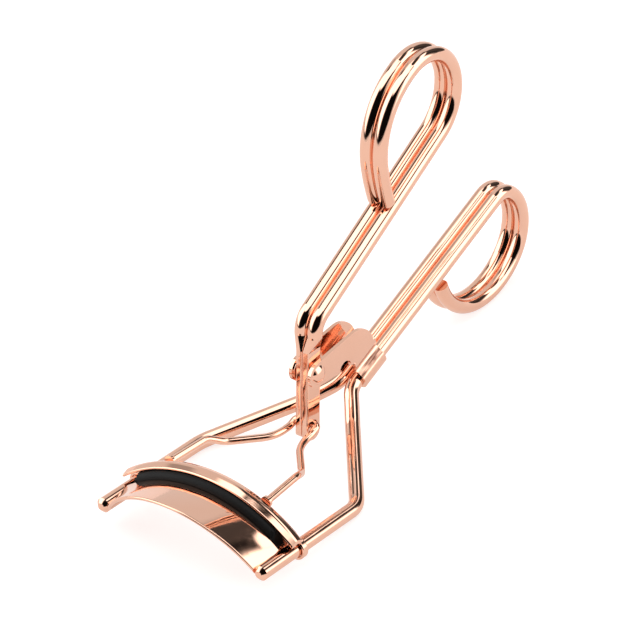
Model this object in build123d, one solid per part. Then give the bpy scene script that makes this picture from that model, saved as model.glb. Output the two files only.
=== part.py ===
"""Eyelash curler with two finger loops, built from bent wire and folded sheet.

The curler is drawn in the frame of its rails: X across them, Y back along them from the tips, Z up
off them, with the rail axes at Z = 0 and the jaws closed. At the end it is laid on the table, on
the two rail bends and the lower finger loop, and centred over the origin.
"""

import math
import os

from build123d import *

# Wire stock
WIRE_R = 1.5            # frame and lever wires
PAIR_GAP = 0.02         # between two wires that lie side by side
LINK_R = 0.75           # link yoke wire

# Rails and frame
RAIL_SPACING = 38.0     # axis to axis
RAIL_LENGTH = 29.3      # tips to the bend corner
RAIL_OVERHANG = 1.0     # wire in front of the rails' reference line
TIP_CHAMFER = 0.75
NECK_LENGTH = 21.0      # bend corner to handle corner, along Y
NECK_RISE = 9.9
NECK_SHARE = 0.715      # how far along the neck its slight knee lies
NECK_SAG = 0.7          # knee below the straight line
RAIL_BEND_R = 5.0
KNEE_BEND_R = 12.0
NECK_BEND_R = 6.0
HANDLE_ANGLE = 24.9     # fixed handle above the rails
HANDLE_LENGTH = 51.6
LOWER_LOOP = ((5.0, 55.0), (10.6, 103.0), (14.9, 116.0))      # radius, turn in degrees

# Lever
PIVOT_HEIGHT = 18.7
PIVOT_BACK = 38.5       # pivot behind the rail tips
BAR_WIDTH = 4.1         # the flattened wire, side on
BAR_THICKNESS = 1.5
BAR_EDGE_R = 0.35
BAR_BELOW_PIVOT = 14.9
BAR_ABOVE_PIVOT = 5.0
FLATTENING = 3.0        # length over which the round wire becomes the flat bar
ALMOST_ROUND = 0.995    # corner radius of the flattening's round end, as a share of the wire's
LEVER_RISE = 10.9       # pivot to the corner where the lever turns back
LEVER_BEND_R = 4.6
LEVER_ANGLE = 32.25     # lever handle above the rails, closed
LEVER_LENGTH = 46.2
UPPER_LOOP = ((10.2, 172.0), (16.1, 77.0), (48.0, 10.2))

# Pivot rivet and its washers
RIVET_R = 1.0
RIVET_HEAD_R = 1.95
RIVET_HEAD_HEIGHT = 0.85
RIVET_CLEARANCE = 0.05
WASHER_R = 2.3
WASHER_THICKNESS = 0.33
SIDE_CLEARANCE = 0.03   # lever to washer

# Bracket, one sheet folded round the two handle wires
SHEET = 0.7
FERRULE_START = 2.2     # along the handle from the handle corner
FERRULE_LENGTH = 7.0
FERRULE_CLEARANCE = 0.02
WAIST_INSET = 0.55      # how far the sheet pinches in above the wires
WAIST_HEIGHT = 3.2      # above the handle axis
EAR_ROOT_HEIGHT = 5.0   # above the handle axis, where the flat ears begin
EAR_TIP_R = 2.7
EAR_CROWN_R = 6.2
EAR_CROWN_START = 2.6   # crown's centre along the handle
EAR_CROWN_LIFT = 1.45   # crown's centre above the ear's root
EAR_FOLD_R = 0.9
BARREL_SHOULDER = 0.9   # above the handle axis, where the flank leaves the barrel
NOTCH_R = 1.8
NOTCH_MARGIN = 1.5      # notch to ear root

# Jaws, drawn on arcs about an axis parallel to the rails
JAW_AXIS_Z = -23.0
JAW_SHEET = 0.8
FIXED_JAW_R = 30.7      # outer radius of the fixed jaw's rear edge
FIXED_JAW_REAR = 6.0    # rear edge behind the rail tips
FRONT_EDGE_RISE = 9.4   # crown of the front edge above the rails
FRONT_EDGE_REACH = 4.5  # crown of the front edge ahead of the rail tips
FRONT_EDGE_SETBACK = 0.6
FRONT_EDGE_FOOT_DROP = 0.2
FRONT_EDGE_ROUNDING = 0.3
JAW_SEAT = 0.5          # how far the plate's ends sit into the wire before they are trimmed to it
PAD_R = 1.7             # half-round nose of the pad
PAD_CENTRE_R = 30.5
PAD_GAP = 0.1           # pad to fixed jaw, closed
PAD_ROOT = 1.9          # pad behind the nose's centre
PAD_HALF_WIDTH = 16.8
CHANNEL_SHEET = 0.6
CHANNEL_FIT = 0.05      # pad to channel
CHANNEL_LIP = 0.25      # lip ahead of the pad nose's centre
CHANNEL_BELLY = 0.5     # how far the walls spread behind the lips
CHANNEL_BELLY_PLACE = 1.1   # behind the nose's centre
CHANNEL_BELLY_R = 1.2
CHANNEL_DEPTH = 2.8     # nose's centre to the back of the channel
CHANNEL_HALF_WIDTH = 17.1
JAW_SWEEP = 42.0        # half angle that clears the rails, in degrees

# Eyes that run on the rails
EYE_WALL = 0.62
EYE_LENGTH = 1.5
EYE_CLEARANCE = 0.08
EYE_ROUNDING = 0.3

# Link yoke
LINK_HEIGHT = 7.4       # the straight part in the lever slot
LINK_SIDE_GAP = 0.35    # arm to lever bar
LINK_DROP = 1.0         # arms drop below the straight part as they leave it
LINK_DROP_LENGTH = 2.1
LINK_SPREAD = 0.3
LINK_NARROW = 6.4       # length of the narrow part in front of the lever
LINK_DIP_Z = 5.9
LINK_SHOULDER_X = 9.3
LINK_SHOULDER_Y = 24.6
LINK_ARM_X = 10.9
LINK_ARM_Y = 21.0
LINK_ARM_Z = 7.7
LINK_FOOT_X = 11.6
LINK_FOOT_Z = 7.3
LINK_BEND_R = (4.0, 8.0, 5.0, 3.0)   # from the lever to the foot, after the corner in the slot
FOOT_R = 1.15
FOOT_LENGTH = 0.6
SLOT_WIDTH = 2.0
SLOT_ABOVE = 0.05       # slot beyond the wire, closed
SLOT_TRAVEL = 1.85      # how far the wire runs down the slot as the lever opens

# Lying on the table
STEEPEST_TILT = 45.0
TILT_TOLERANCE = 1e-4    # degrees

# Values that follow from the ones above
RAIL_X = RAIL_SPACING / 2
HANDLE_X = WIRE_R + PAIR_GAP / 2
HANDLE_CORNER = Vector(HANDLE_X, RAIL_LENGTH + NECK_LENGTH, NECK_RISE)
EAR_INNER_X = PAIR_GAP / 2 + BAR_THICKNESS + 2 * SIDE_CLEARANCE + WASHER_THICKNESS
EYE_R = WIRE_R + EYE_CLEARANCE + EYE_WALL
PAD_CENTRE_Y = FIXED_JAW_REAR + PAD_GAP + PAD_R
JAW_BACK_Y = PAD_CENTRE_Y + CHANNEL_DEPTH


def unit(vector):
    return vector * (1 / vector.length)


def along(angle):
    """Unit vector in the centre plane, at an angle above the rails."""
    return Vector(0, math.cos(math.radians(angle)), math.sin(math.radians(angle)))


def mirror_x(shape):
    return mirror(shape, about=Plane.YZ)


def bent(corners, radii):
    """Edges of a wire through corners, with a round bend of the given radius at each inner one."""
    points = [Vector(*corner) if isinstance(corner, tuple) else corner for corner in corners]
    edges = []
    start = points[0]
    for before, corner, after, radius in zip(points, points[1:], points[2:], radii):
        into = unit(corner - before)
        out = unit(after - corner)
        half_turn = math.radians(into.get_angle(out)) / 2
        setback = radius * math.tan(half_turn)
        enter = corner - into * setback
        leave = corner + out * setback
        inward = unit(out - into)
        middle = corner + inward * (radius / math.cos(half_turn) - radius)
        edges.append(Edge.make_line(start, enter))
        edges.append(Edge.make_three_point_arc(enter, middle, leave))
        start = leave
    edges.append(Edge.make_line(start, points[-1]))
    return edges


def coil(start, angle, turns, side):
    """Tangent arcs in a plane of constant X; side is 1 to curl up and -1 to curl down."""
    edges = []
    for radius, turn in turns:
        centre = start + along(angle + 90 * side) * radius

        def at(swept):
            return centre - along(angle + side * swept + 90 * side) * radius

        edges.append(Edge.make_three_point_arc(start, at(turn / 2), at(turn)))
        start = at(turn)
        angle += side * turn
    return edges


def swept(edges, radius):
    """A round wire along a chain of tangent edges."""
    path = Wire(edges)
    start = Plane(path @ 0, z_dir=path % 0)
    return sweep(start * Circle(radius), path=path)


def about_jaw_axis(face, half_angle):
    """Turn a face in the centre plane about the jaws' axis, to both sides of the crown."""
    axis = Axis((0, 0, JAW_AXIS_Z), (0, 1, 0))
    return revolve(face, axis, 2 * half_angle).rotate(axis, -half_angle)


def folded_sheet(plane, corners, radii, thickness):
    """Cross-section of a bent sheet, from the corners of its middle line in a plane."""
    middle_line = Wire(bent([plane.from_local_coords(corner) for corner in corners], radii))
    return make_face(offset(middle_line, thickness / 2, side=Side.BOTH, kind=Kind.ARC))


def slab(half_width, low_y, high_y, low_z, high_z):
    """A block across the curler, symmetric about its centre plane."""
    block = Box(2 * half_width, high_y - low_y, high_z - low_z)
    return Pos(0, (low_y + high_y) / 2, (low_z + high_z) / 2) * block


def across(y, z, radius, half_length):
    """A rod across the curler, centred on its centre plane."""
    return Pos(0, y, z) * Cylinder(radius, 2 * half_length, rotation=(0, 90, 0))


def rail_rod(side, radius):
    """A long rod on one rail's axis."""
    rod = Cylinder(radius, 2 * RAIL_LENGTH, rotation=(90, 0, 0))
    return Pos(side * RAIL_X, RAIL_LENGTH / 2, 0) * rod


def frame_route():
    """Centre line of the right-hand frame wire: rail, neck, fixed handle and lower finger loop."""
    heading = along(HANDLE_ANGLE)
    loop_start = HANDLE_CORNER + heading * HANDLE_LENGTH
    bend = Vector(RAIL_X, RAIL_LENGTH, 0)
    knee = bend + (HANDLE_CORNER - bend) * NECK_SHARE - Vector(0, 0, NECK_SAG)
    corners = [
        Vector(RAIL_X, -RAIL_OVERHANG, 0),
        bend,
        knee,
        HANDLE_CORNER,
        loop_start,
    ]
    return bent(corners, [RAIL_BEND_R, KNEE_BEND_R, NECK_BEND_R]) + coil(loop_start, HANDLE_ANGLE, LOWER_LOOP, -1)


def frame_wire():
    """Right-hand frame wire with its chamfered tip."""
    wire = swept(frame_route(), WIRE_R)
    tip = wire.edges().sort_by(Axis.Y)[0]
    return chamfer(tip, TIP_CHAMFER)


def flat_section(height, spread, thickness, edge_radius):
    """Section of the flattened wire, its inner side against the centre plane."""
    x = PAIR_GAP / 2 + thickness / 2
    plane = Plane((x, PIVOT_BACK, height), x_dir=(0, 1, 0), z_dir=(0, 0, 1))
    return plane * RectangleRounded(spread, thickness, edge_radius)


def slot_cutter():
    """Slot for the link wire, which stands at its top end while the jaws are closed."""
    top = LINK_HEIGHT + LINK_R + SLOT_ABOVE
    length = 2 * LINK_R + 2 * SLOT_ABOVE + SLOT_TRAVEL
    plane = Plane((0, PIVOT_BACK, top - length / 2), x_dir=(0, 0, 1), z_dir=(1, 0, 0))
    return extrude(plane * SlotOverall(length, SLOT_WIDTH), 3 * BAR_THICKNESS)


def lever_wire():
    """Right-hand wire: flat bar, bend, lever handle and upper finger loop."""
    bar_top = PIVOT_HEIGHT + BAR_ABOVE_PIVOT
    bar_bottom = PIVOT_HEIGHT - BAR_BELOW_PIVOT
    round_start = bar_top + FLATTENING
    corner = Vector(HANDLE_X, PIVOT_BACK, PIVOT_HEIGHT + LEVER_RISE)
    loop_start = corner + along(LEVER_ANGLE) * LEVER_LENGTH
    start = Vector(HANDLE_X, PIVOT_BACK, round_start)
    edges = bent([start, corner, loop_start], [LEVER_BEND_R]) + coil(loop_start, LEVER_ANGLE, UPPER_LOOP, 1)
    handle = swept(edges, WIRE_R)

    bar = extrude(flat_section(bar_bottom, BAR_WIDTH, BAR_THICKNESS, BAR_EDGE_R), bar_top - bar_bottom)
    round_centre = bar_bottom + BAR_WIDTH / 2
    end_round = across(PIVOT_BACK, round_centre, BAR_WIDTH / 2, 2 * BAR_THICKNESS)
    above_end = slab(2 * BAR_THICKNESS, PIVOT_BACK - BAR_WIDTH, PIVOT_BACK + BAR_WIDTH, round_centre, bar_top)
    bar = bar & (end_round + above_end)
    pivot_hole = across(PIVOT_BACK, PIVOT_HEIGHT, RIVET_R + RIVET_CLEARANCE, 2 * BAR_THICKNESS)
    bar = bar - pivot_hole - slot_cutter()

    taper = loft([
        flat_section(bar_top, BAR_WIDTH, BAR_THICKNESS, BAR_EDGE_R),
        flat_section(round_start, 2 * WIRE_R, 2 * WIRE_R, ALMOST_ROUND * WIRE_R),
    ])
    return bar + taper + handle


def ear_outline(handle_plane):
    """Side view of one ear: round tip at the pivot, crown over the ferrule, notch between them."""
    tip = Pos(PIVOT_BACK, PIVOT_HEIGHT) * Circle(EAR_TIP_R)
    crown_centre = handle_plane.from_local_coords((EAR_CROWN_START, EAR_ROOT_HEIGHT + EAR_CROWN_LIFT, 0))
    crown = Pos(crown_centre.Y, crown_centre.Z) * Circle(EAR_CROWN_R)
    leaf = make_hull((tip + crown).edges())
    root_height = EAR_ROOT_HEIGHT - SHEET / 2
    root_start = handle_plane.from_local_coords((FERRULE_START, root_height, 0))
    root_end = handle_plane.from_local_coords((FERRULE_START + 2 * EAR_CROWN_R, root_height, 0))
    lower_edge = PIVOT_HEIGHT - EAR_TIP_R
    below_ears = make_face(Polyline(
        (PIVOT_BACK - EAR_TIP_R, lower_edge),
        (root_start.Y, lower_edge),
        (root_start.Y, root_start.Z),
        (root_end.Y, root_end.Z),
        (root_end.Y, 0),
        (PIVOT_BACK - EAR_TIP_R, 0),
        close=True,
    ))
    notch = Pos(root_start.Y - NOTCH_R - NOTCH_MARGIN, lower_edge) * Circle(NOTCH_R)
    return leaf - below_ears - notch


def bracket():
    """One folded sheet: a ferrule round both handle wires and two ears that hold the pivot."""
    heading = along(HANDLE_ANGLE)
    corner = Vector(0, HANDLE_CORNER.Y, HANDLE_CORNER.Z)
    handle_plane = Plane(corner, x_dir=heading, z_dir=(1, 0, 0))
    section_plane = Plane(corner + heading * FERRULE_START, x_dir=(1, 0, 0), z_dir=heading * -1)
    ear_x = EAR_INNER_X + SHEET / 2
    waist_x = ear_x - WAIST_INSET
    barrel_r = WIRE_R + FERRULE_CLEARANCE + SHEET / 2
    barrel_x = HANDLE_X + barrel_r
    right_side = [
        (ear_x, EAR_ROOT_HEIGHT + SHEET / 2),
        (ear_x, EAR_ROOT_HEIGHT - SHEET),
        (waist_x, WAIST_HEIGHT),
        (barrel_x, BARREL_SHOULDER),
        (barrel_x, -barrel_r),
    ]
    left_side = [(-x, height) for x, height in reversed(right_side)]
    side_radii = [EAR_FOLD_R, EAR_FOLD_R, barrel_r]
    corners = [(x, height, 0) for x, height in right_side + left_side]
    radii = side_radii + [barrel_r, barrel_r] + side_radii[::-1]
    section = folded_sheet(section_plane, corners, radii, SHEET)
    ferrule = extrude(section, FERRULE_LENGTH, dir=heading)

    ear = extrude(Plane.YZ.offset(EAR_INNER_X) * ear_outline(handle_plane), SHEET)
    ears = ear + mirror_x(ear)
    return ferrule + ears - across(PIVOT_BACK, PIVOT_HEIGHT, RIVET_R, 2 * barrel_x)


def rivet():
    """Shank through ears, washers and lever, with a low dome on each end."""
    shoulder = EAR_INNER_X + SHEET
    dome_top = shoulder + RIVET_HEAD_HEIGHT
    dome_r = (RIVET_HEAD_R ** 2 + RIVET_HEAD_HEIGHT ** 2) / (2 * RIVET_HEAD_HEIGHT)
    half_angle = math.asin(RIVET_HEAD_R / dome_r) / 2
    dome_middle = (dome_top - dome_r + dome_r * math.cos(half_angle), dome_r * math.sin(half_angle))
    outline = [
        Edge.make_line((0, 0), (0, RIVET_R)),
        Edge.make_line((0, RIVET_R), (shoulder, RIVET_R)),
        Edge.make_line((shoulder, RIVET_R), (shoulder, RIVET_HEAD_R)),
        Edge.make_three_point_arc((shoulder, RIVET_HEAD_R), dome_middle, (dome_top, 0)),
        Edge.make_line((dome_top, 0), (0, 0)),
    ]
    half = Pos(0, PIVOT_BACK, PIVOT_HEIGHT) * revolve(Face(Wire(outline)), Axis.X)
    return half + mirror_x(half)


def washer():
    """Right-hand spacer between the lever bar and the ear."""
    x = EAR_INNER_X - WASHER_THICKNESS
    disc = Plane.YZ.offset(x) * (Pos(PIVOT_BACK, PIVOT_HEIGHT) * (Circle(WASHER_R) - Circle(RIVET_R)))
    return extrude(disc, WASHER_THICKNESS)


def jaw_strip(crown, up, radius, half_width):
    """Arched strip of sheet, seen end on: crown point, direction up to it, outer radius.

    The ends are cut square to the sheet, so the inner arc is as many degrees long as the outer.
    """
    plane = Plane(crown, x_dir=(1, 0, 0), z_dir=Vector(1, 0, 0).cross(up))

    def arc(r):
        x_end = half_width * r / radius
        drop = radius - math.sqrt(r ** 2 - x_end ** 2)
        ends = [plane.from_local_coords((x, -drop, 0)) for x in (-x_end, x_end)]
        middle = plane.from_local_coords((0, r - radius, 0))
        return Edge.make_three_point_arc(ends[0], middle, ends[1])

    outer = arc(radius)
    inner = arc(radius - JAW_SHEET)
    sides = [Edge.make_line(outer @ end, inner @ end) for end in (0, 1)]
    return Face(Wire([outer, inner] + sides))


def fixed_jaw():
    """Arched plate brazed between the rail tips; its front edge leans forward at the crown."""
    half_width = RAIL_X - WIRE_R * JAW_SEAT
    foot = Vector(0, -FRONT_EDGE_SETBACK, -FRONT_EDGE_FOOT_DROP)
    crown = Vector(0, -FRONT_EDGE_REACH, FRONT_EDGE_RISE)
    rise = crown - foot
    front_radius = (half_width ** 2 + rise.length ** 2) / (2 * rise.length)
    front = jaw_strip(crown, unit(rise), front_radius, half_width)
    rear_crown = Vector(0, FIXED_JAW_REAR, JAW_AXIS_Z + FIXED_JAW_R)
    rear = jaw_strip(rear_crown, Vector(0, 0, 1), FIXED_JAW_R, half_width)
    plate = loft([front, rear], ruled=True)
    front_edges = plate.faces().sort_by(Axis.Y)[0].edges().sort_by(SortBy.LENGTH)[-2:]
    plate = fillet(front_edges, FRONT_EDGE_ROUNDING)
    return plate - rail_rod(1, WIRE_R) - rail_rod(-1, WIRE_R)


def pad():
    """Silicone strip with a half-round nose, held in the moving jaw."""
    plane = Plane((0, 0, JAW_AXIS_Z), x_dir=(0, 1, 0), z_dir=(1, 0, 0))
    nose = Pos(PAD_CENTRE_Y, PAD_CENTRE_R) * Circle(PAD_R)
    root = Pos(PAD_CENTRE_Y + PAD_ROOT / 2, PAD_CENTRE_R) * Rectangle(PAD_ROOT, 2 * PAD_R)
    strip = about_jaw_axis(plane * (nose + root), JAW_SWEEP)
    return strip & slab(PAD_HALF_WIDTH, 0, 2 * JAW_BACK_Y, -RAIL_X, RAIL_X)


def moving_jaw():
    """Folded channel round the pad, with its back wall carried out to the eyes."""
    plane = Plane((0, 0, JAW_AXIS_Z), x_dir=(0, 1, 0), z_dir=(1, 0, 0))
    half = CHANNEL_SHEET / 2
    lip_y = PAD_CENTRE_Y - CHANNEL_LIP
    belly_y = PAD_CENTRE_Y + CHANNEL_BELLY_PLACE
    back_y = JAW_BACK_Y - half
    lip_height = PAD_R + CHANNEL_FIT + half
    belly_height = lip_height + CHANNEL_BELLY
    upper = [(lip_y, lip_height), (belly_y, belly_height), (back_y, lip_height)]
    lower = [(y, -height) for y, height in reversed(upper)]
    corners = [(y, PAD_CENTRE_R + height, 0) for y, height in upper + lower]
    radii = [CHANNEL_BELLY_R, CHANNEL_SHEET, CHANNEL_SHEET, CHANNEL_BELLY_R]
    channel = about_jaw_axis(folded_sheet(plane, corners, radii, CHANNEL_SHEET), JAW_SWEEP)
    inside_rails = slab(CHANNEL_HALF_WIDTH, 0, 2 * JAW_BACK_Y, -RAIL_X, RAIL_X)
    over_rails = slab(RAIL_X + WIRE_R, 0, 2 * JAW_BACK_Y, EYE_R, RAIL_X)
    channel = channel & (inside_rails + over_rails)

    back_top = PAD_CENTRE_R + lip_height
    wall_middle = Pos(back_y, (back_top + PAD_CENTRE_R) / 2)
    wall = about_jaw_axis(plane * (wall_middle * Rectangle(CHANNEL_SHEET, back_top - PAD_CENTRE_R)), JAW_SWEEP)
    tabs = wall & slab(RAIL_X, 0, 2 * JAW_BACK_Y, 0, RAIL_X)
    jaw = channel + tabs
    for side in (1, -1):
        jaw = jaw - rail_rod(side, EYE_R)
    return jaw


def eye():
    """Right-hand eye, a rounded ring brazed under the jaw's tab, running on the rail."""
    y = JAW_BACK_Y - CHANNEL_SHEET + EYE_LENGTH / 2
    ring = Cylinder(EYE_R, EYE_LENGTH) - Cylinder(WIRE_R + EYE_CLEARANCE, EYE_LENGTH)
    ring = fillet(ring.edges().filter_by(GeomType.CIRCLE), EYE_ROUNDING)
    return Pos(RAIL_X, y, 0) * Rot(90, 0, 0) * ring


def link_yoke():
    """One wire: through the lever slot, then both arms forward to feet on the moving jaw."""
    arm_x = PAIR_GAP / 2 + BAR_THICKNESS + LINK_SIDE_GAP + LINK_R
    foot = Vector(LINK_FOOT_X, JAW_BACK_Y + FOOT_LENGTH / 2, LINK_FOOT_Z)
    right = [
        (arm_x, PIVOT_BACK, LINK_HEIGHT),
        (arm_x, PIVOT_BACK - LINK_DROP_LENGTH, LINK_HEIGHT - LINK_DROP),
        (arm_x + LINK_SPREAD, PIVOT_BACK - LINK_NARROW, LINK_DIP_Z),
        (LINK_SHOULDER_X, LINK_SHOULDER_Y, LINK_DIP_Z),
        (LINK_ARM_X, LINK_ARM_Y, LINK_ARM_Z),
        (foot.X, foot.Y, foot.Z),
    ]
    radii = [arm_x - BAR_THICKNESS, *LINK_BEND_R]
    left = [(-x, y, z) for x, y, z in reversed(right)]
    wire = swept(bent(left + right, radii[::-1] + radii), LINK_R)
    disc = Pos(foot) * Cylinder(FOOT_R, FOOT_LENGTH, rotation=(90, 0, 0))
    return wire + disc + mirror_x(disc)


def lowest(edges, tilt):
    """Lowest point of a chain of edges once tilted about the X axis."""
    return min(edge.rotate(Axis.X, -tilt).bounding_box().min.Z for edge in edges)


def table_tilt():
    """Angle that brings the rail bends and the lower loop down to one level."""
    route = frame_route()
    rail_bend = route[1:2]
    loop = route[-len(LOWER_LOOP):]
    low, high = 0.0, STEEPEST_TILT
    while high - low > TILT_TOLERANCE:
        middle = (low + high) / 2
        if lowest(loop, middle) > lowest(rail_bend, middle):
            low = middle
        else:
            high = middle
    return low


def pieces():
    """Every piece of the curler in the frame of its rails, by node name."""
    frame_side = frame_wire()
    lever_side = lever_wire()
    ring = eye()
    spacer = washer()
    return {
        "frame_wire_right": frame_side,
        "frame_wire_left": mirror_x(frame_side),
        "fixed_jaw": fixed_jaw(),
        "pivot_bracket": bracket(),
        "pivot_rivet": rivet(),
        "spacer_washer_right": spacer,
        "spacer_washer_left": mirror_x(spacer),
        "lever_wire_right": lever_side,
        "lever_wire_left": mirror_x(lever_side),
        "link_yoke": link_yoke(),
        "moving_jaw": moving_jaw(),
        "jaw_eye_right": ring,
        "jaw_eye_left": mirror_x(ring),
        "silicone_pad": pad(),
    }


def table_place(shapes):
    """Location that lays the drawn pieces on the table, centred over the origin."""
    tilt = Rot(-table_tilt(), 0, 0)
    box = Compound(children=[tilt * shape for shape in shapes]).bounding_box()
    centre = box.center()
    return Pos(-centre.X, -centre.Y, -box.min.Z) * tilt


def main():
    drawn = pieces()
    place = table_place(drawn.values())
    os.makedirs("parts", exist_ok=True)
    for name, shape in drawn.items():
        export_step(place * shape, f"parts/{name}.step")


if __name__ == "__main__":
    main()
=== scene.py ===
"""Looks of an eyelash curler with rose-gold plated wire and sheet and a black silicone pad."""

import math

import bpy
import bmesh
from mathutils import Matrix, Vector


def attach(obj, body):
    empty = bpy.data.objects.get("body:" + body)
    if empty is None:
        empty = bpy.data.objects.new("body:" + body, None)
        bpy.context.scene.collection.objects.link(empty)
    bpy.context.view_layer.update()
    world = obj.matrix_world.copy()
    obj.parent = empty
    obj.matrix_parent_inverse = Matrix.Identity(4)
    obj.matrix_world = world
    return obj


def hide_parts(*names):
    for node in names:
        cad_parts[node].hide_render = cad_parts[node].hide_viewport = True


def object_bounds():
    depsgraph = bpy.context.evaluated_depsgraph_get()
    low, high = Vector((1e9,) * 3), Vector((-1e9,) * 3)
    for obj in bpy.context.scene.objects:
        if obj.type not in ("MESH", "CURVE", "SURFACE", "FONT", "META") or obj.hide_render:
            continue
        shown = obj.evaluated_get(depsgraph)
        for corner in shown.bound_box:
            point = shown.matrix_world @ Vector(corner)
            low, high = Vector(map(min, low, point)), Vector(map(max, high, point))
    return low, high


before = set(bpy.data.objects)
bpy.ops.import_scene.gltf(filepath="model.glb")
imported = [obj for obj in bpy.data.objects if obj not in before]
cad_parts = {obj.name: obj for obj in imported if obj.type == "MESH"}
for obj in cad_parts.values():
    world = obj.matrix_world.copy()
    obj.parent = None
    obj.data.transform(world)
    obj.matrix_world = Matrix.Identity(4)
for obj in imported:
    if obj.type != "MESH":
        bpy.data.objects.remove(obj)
cad_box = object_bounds()
scene = bpy.context.scene
scene.view_settings.view_transform = "Standard"

# Camera. A long lens looks down on the front right of the curler, so that the handles run away to
# the upper right and the jaws face the viewer.
MM = 0.001
AZIMUTH, ELEVATION, ROLL = 40.88, 36.86, -6.06      # degrees
DISTANCE = 820 * MM
AIM_FROM_MIDDLE = Vector((7.81, -17.02, 1.94)) * MM
LENS = 245.85
SENSOR_WIDTH = 36
(low, high) = cad_box
aim = (Vector(low) + Vector(high)) / 2 + AIM_FROM_MIDDLE
turn = (
    Matrix.Rotation(math.radians(AZIMUTH), 4, "Z")
    @ Matrix.Rotation(math.radians(90 - ELEVATION), 4, "X")
    @ Matrix.Rotation(math.radians(ROLL), 4, "Z")
)
camera = bpy.data.objects.new("camera", bpy.data.cameras.new("camera"))
camera.data.lens = LENS
camera.data.sensor_width = SENSOR_WIDTH
camera.matrix_world = Matrix.Translation(aim) @ turn @ Matrix.Translation((0, 0, DISTANCE))
scene.collection.objects.link(camera)
scene.camera = camera

# Studio. A white tent with a tall softbox on each side and a light ceiling, dark where the camera
# stands. The dark flags behind the right softbox give the polished metal its brown streaks, and the
# tent shows plain white behind the curler.
world = bpy.data.worlds.new("studio")
scene.world = world
world.use_nodes = True
world.node_tree.nodes.clear()


def node(tree, kind, settings=None, links=None):
    """Adds a node, sets its properties and inputs, and links sockets into it."""
    made = tree.nodes.new(kind)
    for key, value in (settings or {}).items():
        if hasattr(made, key):
            setattr(made, key, value)
        else:
            made.inputs[key].default_value = value
    for key, socket in (links or {}).items():
        tree.links.new(socket, made.inputs[key])
    return made


tree = world.node_tree
coord = node(tree, "ShaderNodeTexCoord")
split = node(tree, "ShaderNodeSeparateXYZ", links={0: coord.outputs["Generated"]})
heading = node(tree, "ShaderNodeMath", {"operation": "ARCTAN2"},
               {0: split.outputs["Y"], 1: split.outputs["X"]})
heading_deg = node(tree, "ShaderNodeMath", {"operation": "DEGREES"}, {0: heading.outputs[0]})
height = node(tree, "ShaderNodeMath", {"operation": "ARCSINE"}, {0: split.outputs["Z"]})
height_deg = node(tree, "ShaderNodeMath", {"operation": "DEGREES"}, {0: height.outputs[0]})


def band(tree, value, start, end, soft_start, soft_end):
    """1 between two values and 0 outside, with a soft edge at each."""
    rise = node(tree, "ShaderNodeMapRange", {"interpolation_type": "SMOOTHSTEP",
                "From Min": start - soft_start, "From Max": start + soft_start}, {"Value": value})
    fall = node(tree, "ShaderNodeMapRange", {"interpolation_type": "SMOOTHSTEP",
                "From Min": end - soft_end, "From Max": end + soft_end,
                "To Min": 1.0, "To Max": 0.0}, {"Value": value})
    both = node(tree, "ShaderNodeMath", {"operation": "MULTIPLY"},
                {0: rise.outputs[0], 1: fall.outputs[0]})
    return both.outputs[0]


def panel(tree, below, level, across, up):
    """Covers what is there with a panel; spans are (start, end, soft start, soft end) in degrees."""
    mask = node(tree, "ShaderNodeMath", {"operation": "MULTIPLY"},
                {0: band(tree, heading_deg.outputs[0], *across),
                 1: band(tree, height_deg.outputs[0], *up)})
    mix = node(tree, "ShaderNodeMix", {"data_type": "FLOAT", "B": level},
               {"Factor": mask.outputs[0], "A": below})
    return mix.outputs[0]


TENT_WALL = 1.0
# Brightness, heading span and height span. Heading is 0 along +X and 90 along +Y.
PANELS = (
    (3.0, (-185, -118, 1, 8), (3, 62, 3, 6)),        # left softbox
    (0.18, (-165, -80, 8, 8), (-1, 3.5, 1, 1)),      # its foot
    (3.0, (2, 52, 3, 5), (-5, 60, 20, 4)),           # right softbox
    (3.0, (50, 84, 5, 10), (37.5, 54, 1, 5)),        # its top, folded round to the back
    (0.09, (54, 98, 6, 6), (-12, 37, 14, 0.8)),      # flag behind it
    (0.12, (88, 112, 5, 4), (36, 70, 3, 4)),         # its raised end
    (0.03, (62, 71, 3, 4), (3, 35, 4, 3)),           # folds in the flag
    (0.04, (78, 84, 2, 3), (-14, 12, 4, 5)),
    (0.005, (-112, -10, 9, 5), (1, 62, 2, 5)),       # dark room where the camera stands
    (2.8, (-190, 190, 1, 1), (61, 95, 4, 1)),        # ceiling
    (0.04, (-14, 13, 5, 6), (40, 55, 3, 3)),         # gap between the right softbox and the ceiling
    (0.40, (14, 27, 5, 4), (44, 57, 3, 3)),
    (0.12, (166, 186, 4, 1), (34, 57, 4, 4)),        # gap at the back of the left softbox
    (0.55, (152, 167, 4, 4), (24, 43, 4, 4)),
    (0.06, (38, 117, 6, 8), (54, 77.4, 5, 0.8)),     # beam in front of the ceiling
)
base = node(tree, "ShaderNodeValue")
base.outputs[0].default_value = TENT_WALL
level = base.outputs[0]
for brightness, across, up in PANELS:
    level = panel(tree, level, brightness, across, up)
behind = node(tree, "ShaderNodeLightPath").outputs["Is Camera Ray"]
shown = node(tree, "ShaderNodeMix", {"data_type": "FLOAT", "B": TENT_WALL},
             {"Factor": behind, "A": level})
background = node(tree, "ShaderNodeBackground", links={"Strength": shown.outputs[0]})
node(tree, "ShaderNodeOutputWorld", links={"Surface": background.outputs[0]})

# Table. A sheet of opal acrylic lit evenly from below, so that shadows on it stay faint. What the
# metal mirrors of it is dimmer. In low views its far edge lies against the tent's white.
TABLE_HALF = 0.9            # metres
OPAL_WHITE = "#B8B1AF"
OPAL_ROUGHNESS = 0.9
GLOW_SEEN = 0.72
GLOW_MIRRORED = 0.46


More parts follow.
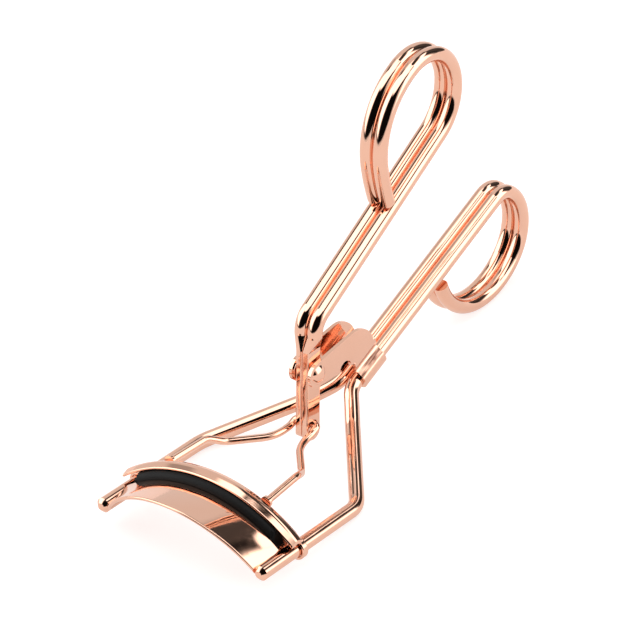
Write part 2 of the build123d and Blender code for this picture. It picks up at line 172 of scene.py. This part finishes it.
def linear(hex_colour):
    """An sRGB hex colour as linear RGBA."""
    channels = [int(hex_colour[i:i + 2], 16) / 255 for i in (1, 3, 5)]
    return [c / 12.92 if c <= 0.04045 else ((c + 0.055) / 1.055) ** 2.4 for c in channels] + [1.0]


mesh = bpy.data.meshes.new("table")
work = bmesh.new()
bmesh.ops.create_grid(work, x_segments=1, y_segments=1, size=TABLE_HALF)
work.to_mesh(mesh)
work.free()
table = bpy.data.objects.new("table", mesh)
scene.collection.objects.link(table)
acrylic = bpy.data.materials.new("opal_acrylic")
acrylic.use_nodes = True
shader = acrylic.node_tree.nodes["Principled BSDF"]
shader.inputs["Base Color"].default_value = linear(OPAL_WHITE)
shader.inputs["Roughness"].default_value = OPAL_ROUGHNESS
shader.inputs["Specular IOR Level"].default_value = 0.0
shader.inputs["Emission Color"].default_value = (1, 1, 1, 1)
seen = node(acrylic.node_tree, "ShaderNodeLightPath").outputs["Is Camera Ray"]
glow = node(acrylic.node_tree, "ShaderNodeMapRange", {"To Min": GLOW_MIRRORED, "To Max": GLOW_SEEN},
            {"Value": seen})
acrylic.node_tree.links.new(glow.outputs[0], shader.inputs["Emission Strength"])
table.data.materials.append(acrylic)

# Frame wires. Two steel wires of 3 mm, bent as a mirrored pair and run together as the fixed handle
# and lower finger loop. They are drawn, polished and plated with rose gold over nickel, which gives
# a warm pink mirror, a little redder and paler from place to place.
ROSE = "#F3C5AE"
ROSE_DEEP = "#EFBBA0"
TINT_PATCH = 9.0            # sizes in mm
HAZE_PATCH = 1.4
HAZE_NOISE = (0.3, 0.7)     # the part of the noise that the haze runs over
HAZE_SPREAD = (0.6, 1.6)    # clearest and haziest, as a share of the roughness
MIX_A, MIX_B, MIX_RESULT = 6, 7, 2      # the colour sockets of a mix node


def rose_gold(name, roughness, wave, wave_depth, mark, mark_depth, stretch):
    """Rose-gold plating on polished metal, with slow waves and fine buffing marks, in mm."""
    material = bpy.data.materials.new(name)
    material.use_nodes = True
    tree = material.node_tree
    shader = tree.nodes["Principled BSDF"]
    shader.inputs["Metallic"].default_value = 1.0
    coord = node(tree, "ShaderNodeTexCoord").outputs["Object"]
    patches = node(tree, "ShaderNodeTexNoise", {"Scale": 1 / (TINT_PATCH * MM), "Detail": 2.0},
                   {"Vector": coord})
    tint = node(tree, "ShaderNodeMix", {"data_type": "RGBA"}, {"Factor": patches.outputs["Fac"]})
    tint.inputs[MIX_A].default_value = linear(ROSE)
    tint.inputs[MIX_B].default_value = linear(ROSE_DEEP)
    tree.links.new(tint.outputs[MIX_RESULT], shader.inputs["Base Color"])
    haze = node(tree, "ShaderNodeTexNoise", {"Scale": 1 / (HAZE_PATCH * MM), "Detail": 4.0},
                {"Vector": coord})
    rough = node(tree, "ShaderNodeMapRange", {"From Min": HAZE_NOISE[0], "From Max": HAZE_NOISE[1],
                 "To Min": roughness * HAZE_SPREAD[0], "To Max": roughness * HAZE_SPREAD[1]},
                 {"Value": haze.outputs["Fac"]})
    tree.links.new(rough.outputs[0], shader.inputs["Roughness"])
    slow = node(tree, "ShaderNodeTexNoise", {"Scale": 1 / (wave * MM), "Detail": 1.0},
                {"Vector": coord})
    waves = node(tree, "ShaderNodeBump", {"Distance": wave_depth * MM},
                 {"Height": slow.outputs["Fac"]})
    drawn = node(tree, "ShaderNodeMapping", {"Scale": stretch}, {"Vector": coord}).outputs[0]
    fine = node(tree, "ShaderNodeTexNoise", {"Scale": 1 / (mark * MM), "Detail": 3.0},
                {"Vector": drawn})
    marks = node(tree, "ShaderNodeBump", {"Distance": mark_depth * MM},
                 {"Height": fine.outputs["Fac"], "Normal": waves.outputs[0]})
    tree.links.new(marks.outputs[0], shader.inputs["Normal"])
    return material


def give_finish(name, material):
    """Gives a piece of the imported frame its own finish."""
    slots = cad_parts[name].data.materials
    slots.clear()
    slots.append(material)


plated_wire = rose_gold("rose_gold_on_wire", roughness=0.05, wave=6.0, wave_depth=0.05, mark=0.3,
                        mark_depth=0.0012, stretch=(1, 0.08, 0.3))
for name in ("frame_wire_left", "frame_wire_right"):
    give_finish(name, plated_wire)

# Fixed jaw. An arched plate of 0.8 mm sheet brazed between the rail tips. The press leaves the
# sheet slightly uneven, so long reflections wander across it.
plated_sheet = rose_gold("rose_gold_on_sheet", roughness=0.06, wave=9.0, wave_depth=0.16, mark=0.3,
                         mark_depth=0.0015, stretch=(0.08, 1, 1))
give_finish("fixed_jaw", plated_sheet)

# Pivot bracket. One folded sheet: a ferrule squeezed round both handle wires and two ears that
# carry the rivet. Its flat flanks get dark brown streaks along the handle, a painted reflection of
# the dark room in the bend between ear and ferrule.
HANDLE_CORNER = (0, -2.717 * MM, 7.886 * MM)
HANDLE_SLOPE = math.radians(16.08)
FLANK = (1.45 * MM, 2.75 * MM)     # heights above the handle's axis
FLANK_EDGE = 0.1 * MM
# Painted reflection: this brown, in streaks along the flanks, stands in for the dark room mirrored
# there.
PAINTED_REFLECTION_BROWN = "#58382C"
STREAK_WIDTH = 0.45 * MM
STREAK_STRETCH = (1, 0.12, 1)
STREAK_NOISE = (0.3, 0.6)
STREAK_DEPTH = (0.25, 1.0)         # faintest and darkest streak
folded_sheet = rose_gold("rose_gold_on_folded_sheet", roughness=0.06, wave=9.0, wave_depth=0.05,
                         mark=0.3, mark_depth=0.0015, stretch=(0.08, 1, 1))
tree = folded_sheet.node_tree
shader = tree.nodes["Principled BSDF"]
coord = node(tree, "ShaderNodeTexCoord").outputs["Object"]
on_handle = node(tree, "ShaderNodeMapping", {"vector_type": "TEXTURE", "Location": HANDLE_CORNER,
                 "Rotation": (HANDLE_SLOPE, 0, 0)}, {"Vector": coord}).outputs[0]
above = node(tree, "ShaderNodeSeparateXYZ", links={0: on_handle}).outputs["Z"]
flank = band(tree, above, *FLANK, FLANK_EDGE, FLANK_EDGE)
stretched = node(tree, "ShaderNodeMapping", {"Scale": STREAK_STRETCH}, {"Vector": on_handle})
streak = node(tree, "ShaderNodeTexNoise", {"Scale": 1 / STREAK_WIDTH, "Detail": 3.0},
              {"Vector": stretched.outputs[0]})
dark = node(tree, "ShaderNodeMapRange", {"From Min": STREAK_NOISE[0], "From Max": STREAK_NOISE[1],
            "To Min": STREAK_DEPTH[0], "To Max": STREAK_DEPTH[1]}, {"Value": streak.outputs["Fac"]})
amount = node(tree, "ShaderNodeMath", {"operation": "MULTIPLY"}, {0: flank, 1: dark.outputs[0]})
# The sheet's colour is mixed towards the brown in streaks: painted reflection, not marks on the
# sheet.
painted_reflection = node(tree, "ShaderNodeMix", {"data_type": "RGBA"}, {"Factor": amount.outputs[0]})
tree.links.new(shader.inputs["Base Color"].links[0].from_socket, painted_reflection.inputs[MIX_A])
painted_reflection.inputs[MIX_B].default_value = linear(PAINTED_REFLECTION_BROWN)
tree.links.new(painted_reflection.outputs[MIX_RESULT], shader.inputs["Base Color"])
give_finish("pivot_bracket", folded_sheet)

# Rivet and spacer washers. The rivet's ends are spun into low domes over the ears, and a turned
# washer keeps the lever off each ear.
turned = rose_gold("rose_gold_on_turned_parts", roughness=0.07, wave=2.0, wave_depth=0.02,
                   mark=0.15, mark_depth=0.001, stretch=(1, 1, 1))
for name in ("pivot_rivet", "spacer_washer_left", "spacer_washer_right"):
    give_finish(name, turned)

# Lever wires. The same wire as the frame, pressed flat where the pair passes between the ears, then
# bent back as the lever handle and upper finger loop.
for name in ("lever_wire_left", "lever_wire_right"):
    give_finish(name, plated_wire)

# Moving jaw. A folded channel of 0.6 mm sheet that holds the pad, with tabs brazed to two eyes that
# run on the rails.
give_finish("moving_jaw", plated_sheet)
for name in ("jaw_eye_left", "jaw_eye_right"):
    give_finish(name, turned)

# Silicone pad. A moulded strip with a round nose, pushed into the channel and bent to its arch. The
# mould leaves a fine satin grain, and the cut ends are slightly rounded. It is drawn in mm in the
# frame of the rails, which slope down towards the bends, and then laid in its place.
PAD_NOSE_R = 1.66
NOSE_ROUNDING = 0.97        # as a share of the nose's half height
PAD_ROOT = 1.85             # root behind the nose's centre
PAD_CORNER = 0.3
PAD_HALF_WIDTH = 16.7
PAD_END_ROUNDING = 0.35
NOSE_CENTRE = (7.8, 7.5)    # along and above the rails, at the crown
ARCH_AXIS_Z = -23.0
ARCH_TURN = math.radians(80)
ARCH_STEPS = 72
RAIL_START = Vector((0, -53.9405, 5.8187)) * MM
RAIL_SLOPE = math.radians(-8.8227)
RAILS = Matrix.Translation(RAIL_START) @ Matrix.Rotation(RAIL_SLOPE, 4, "X")
work = bmesh.new()
(nose_y, nose_z) = NOSE_CENTRE
front = [work.verts.new((0, nose_y - PAD_NOSE_R, nose_z + side * PAD_NOSE_R)) for side in (-1, 1)]
rear = [work.verts.new((0, nose_y + PAD_ROOT, nose_z + side * PAD_NOSE_R)) for side in (1, -1)]
work.faces.new(front + rear)
bmesh.ops.bevel(work, geom=front, offset=PAD_NOSE_R * NOSE_ROUNDING, segments=8, profile=0.5,
                affect="VERTICES", material=-1)
rear = [v for v in work.verts if v.co.y > nose_y + PAD_ROOT - PAD_CORNER]
bmesh.ops.bevel(work, geom=rear, offset=PAD_CORNER, segments=3, profile=0.5,
                affect="VERTICES", material=-1)
bmesh.ops.delete(work, geom=work.faces[:], context="FACES_ONLY")
arch_axis = Vector((0, nose_y, ARCH_AXIS_Z))
half_turn = Matrix.Rotation(-ARCH_TURN / 2, 3, "Y")
bmesh.ops.rotate(work, cent=arch_axis, matrix=half_turn, verts=work.verts[:])
bmesh.ops.spin(work, geom=work.verts[:] + work.edges[:], cent=arch_axis, axis=(0, 1, 0),
               angle=ARCH_TURN, steps=ARCH_STEPS, use_duplicate=False)
ends = []
for side in (-1, 1):
    everything = work.verts[:] + work.edges[:] + work.faces[:]
    cut = bmesh.ops.bisect_plane(work, geom=everything, plane_co=(side * PAD_HALF_WIDTH, 0, 0),
                                 plane_no=(side, 0, 0), clear_outer=True)
    rim = [e for e in cut["geom_cut"] if isinstance(e, bmesh.types.BMEdge)]
    ends += bmesh.ops.holes_fill(work, edges=rim)["faces"]
bmesh.ops.recalc_face_normals(work, faces=work.faces[:])
rims = list({e for face in ends for e in face.edges})
bmesh.ops.bevel(work, geom=rims, offset=PAD_END_ROUNDING, segments=4, profile=0.5,
                affect="EDGES", material=-1)
bmesh.ops.scale(work, vec=(MM, MM, MM), verts=work.verts[:])
bmesh.ops.transform(work, matrix=RAILS, verts=work.verts[:])
bmesh.ops.recalc_face_normals(work, faces=work.faces[:])
for face in work.faces:
    face.smooth = len(face.verts) == 4
pad_mesh = bpy.data.meshes.new("pad_strip")
work.to_mesh(pad_mesh)
work.free()
pad = bpy.data.objects.new("pad_strip", pad_mesh)
scene.collection.objects.link(pad)

# Black silicone rubber, moulded: nearly black with a soft sheen, a fine spark-eroded grain and a
# little paler dust in it. The grain is drawn coarse enough to show.
RUBBER_IOR = 1.41
RUBBER_GLOSS = 0.22
RUBBER_BLACK = "#040404"
DUSTY_BLACK = "#0E0D0D"
DUST_PATCH = 2.5 * MM
SHEEN = (0.42, 0.62)        # roughness where clean and where dusty
GRAIN = 0.16 * MM
GRAIN_DEPTH = 0.02 * MM
silicone = bpy.data.materials.new("black_silicone_rubber")
silicone.use_nodes = True
tree = silicone.node_tree
shader = tree.nodes["Principled BSDF"]
shader.inputs["IOR"].default_value = RUBBER_IOR
shader.inputs["Specular IOR Level"].default_value = RUBBER_GLOSS
coord = node(tree, "ShaderNodeTexCoord").outputs["Object"]
dust = node(tree, "ShaderNodeTexNoise", {"Scale": 1 / DUST_PATCH, "Detail": 5.0},
            {"Vector": coord})
shade = node(tree, "ShaderNodeMix", {"data_type": "RGBA"}, {"Factor": dust.outputs["Fac"]})
shade.inputs[MIX_A].default_value = linear(RUBBER_BLACK)
shade.inputs[MIX_B].default_value = linear(DUSTY_BLACK)
tree.links.new(shade.outputs[MIX_RESULT], shader.inputs["Base Color"])
sheen = node(tree, "ShaderNodeMapRange", {"To Min": SHEEN[0], "To Max": SHEEN[1]},
             {"Value": dust.outputs["Fac"]})
tree.links.new(sheen.outputs[0], shader.inputs["Roughness"])
grain = node(tree, "ShaderNodeTexNoise", {"Scale": 1 / GRAIN, "Detail": 2.0}, {"Vector": coord})
relief = node(tree, "ShaderNodeBump", {"Distance": GRAIN_DEPTH}, {"Height": grain.outputs["Fac"]})
tree.links.new(relief.outputs[0], shader.inputs["Normal"])
pad.data.materials.append(silicone)
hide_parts("silicone_pad")
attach(pad, "slider")

# Link yoke. One thinner wire through the lever's slots, with both arms brought forward and soldered
# to small feet on the back of the moving jaw.
give_finish("link_yoke", plated_wire)
